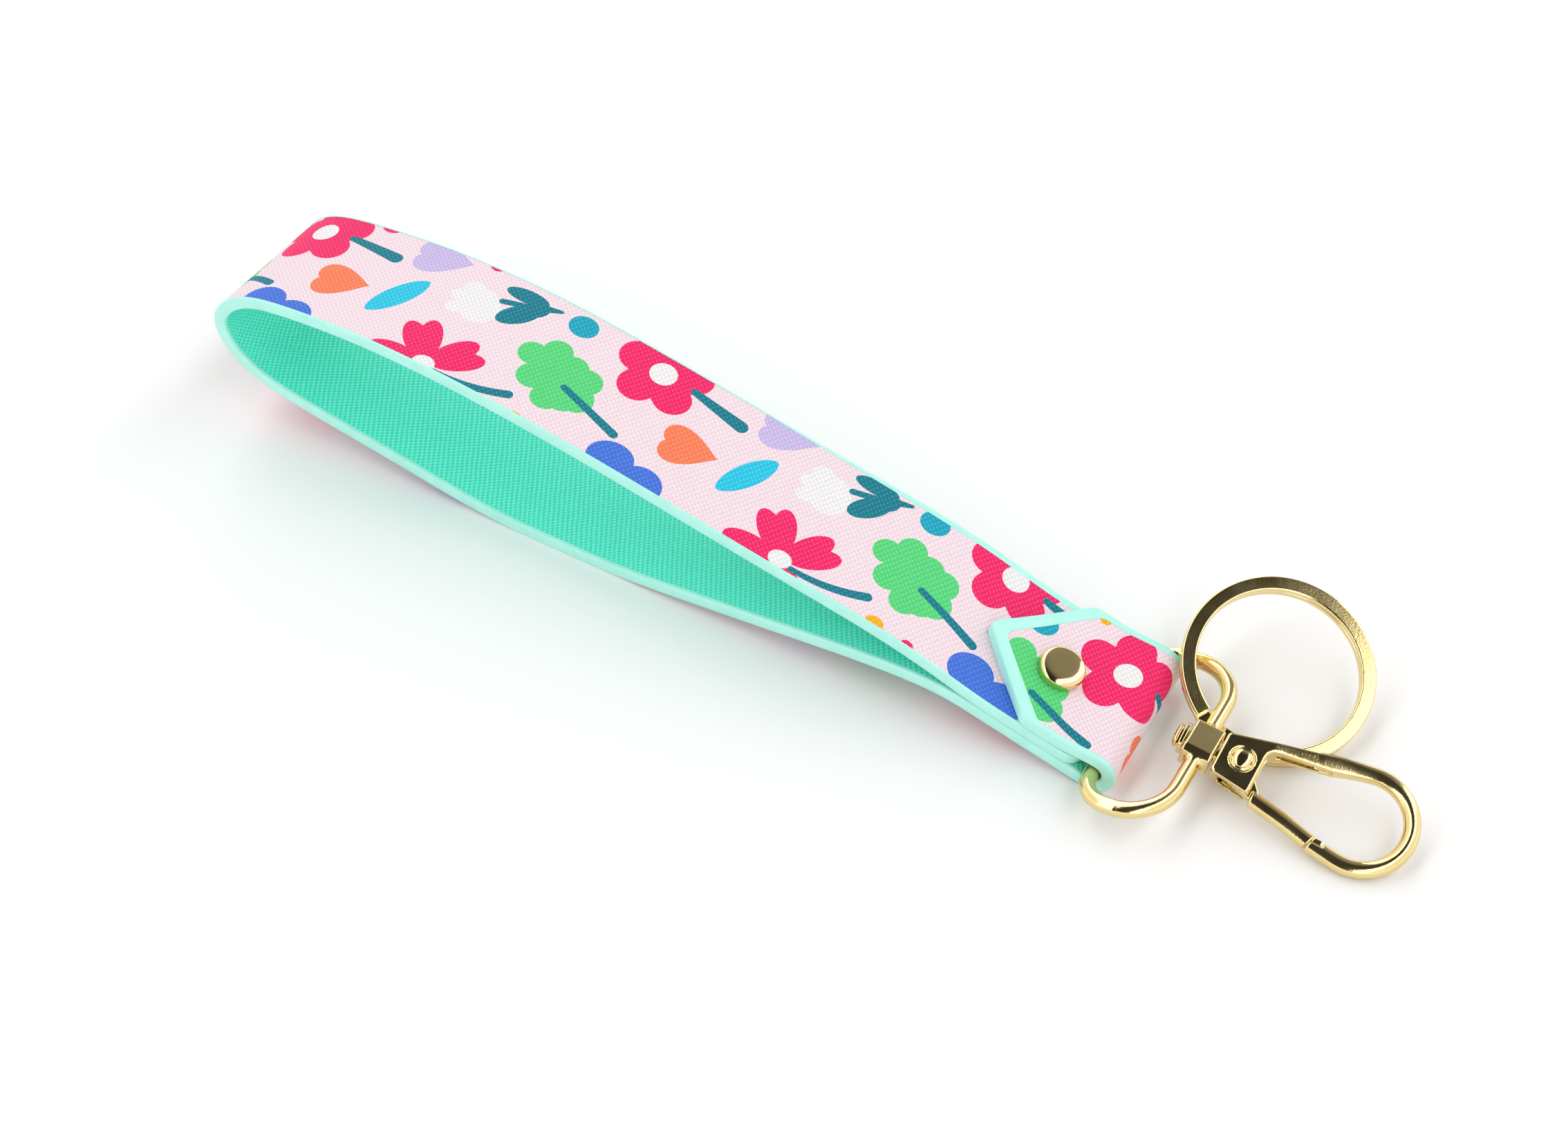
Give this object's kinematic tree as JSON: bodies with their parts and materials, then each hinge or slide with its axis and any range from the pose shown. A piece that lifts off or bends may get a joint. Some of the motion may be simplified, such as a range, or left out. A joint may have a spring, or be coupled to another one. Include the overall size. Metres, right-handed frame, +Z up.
{
  "type": "wristlet keychain",
  "caption": "Wrist loop strap riveted round a swivel bail, with a sprung gate clasp that turns in the bail and a split key ring threaded on it.",
  "frame": {"origin": "middle of the whole object's box, at the surface that it lies on", "axes": "+X along the strap from the loop's bend to the clasp, +Y across the strap, +Z up from the surface that it lies on"},
  "size_m": [0.2248, 0.0562, 0.0319],
  "materials": {
    "printed_leather": "faux leather printed with flowers and leaves, cross-hatched grain, satin",
    "mint_leather": "faux leather with a cross-hatched grain, satin",
    "edge_paint": "smooth rounded edge paint, satin",
    "stiffener": "plain fibre board",
    "gold": "polished gold plate",
    "spring_steel": "drawn wire"
  },
  "bodies": {
    "strap": {"strap_outer": "printed_leather", "strap_core": "stiffener", "strap_lining": "mint_leather", "rivet_cap": "gold", "rivet_post": "gold"},
    "bail": {"swivel_bail": "gold"},
    "clasp": {"clasp_body": "gold", "swivel_pin": "gold", "swivel_washer": "gold", "gate_pin": "gold", "gate_spring": "spring_steel"},
    "gate": {"gate": "gold"},
    "key_ring": {"key_ring": "gold"}
  },
  "joints": [
    {"name": "bail_swing", "type": "hinge", "parent": "strap", "child": "bail", "pos_m": [0.06107, -0.00886, 0.0041], "axis": [0, -1, 0], "range_deg": [-60, 60]},
    {"name": "clasp_swivel", "type": "hinge", "parent": "bail", "child": "clasp", "pos_m": [0.07488, -0.00886, 0.00641], "axis": [0.9963, 0, -0.0854], "continuous": true},
    {"name": "gate_open", "type": "hinge", "parent": "clasp", "child": "gate", "pos_m": [0.08177, -0.00848, 0.00596], "axis": [0.0803, -0.342, 0.9363], "range_deg": [0, 20], "stiffness_Nm_per_rad": 0.02, "springref_deg": -20.05},
    {"name": "key_ring_tilt", "type": "hinge", "parent": "bail", "child": "key_ring", "pos_m": [0.07957, 0.01194, 0.00724], "axis": [0.8007, 0.599, 0], "range_deg": [0, 70]}
  ]
}
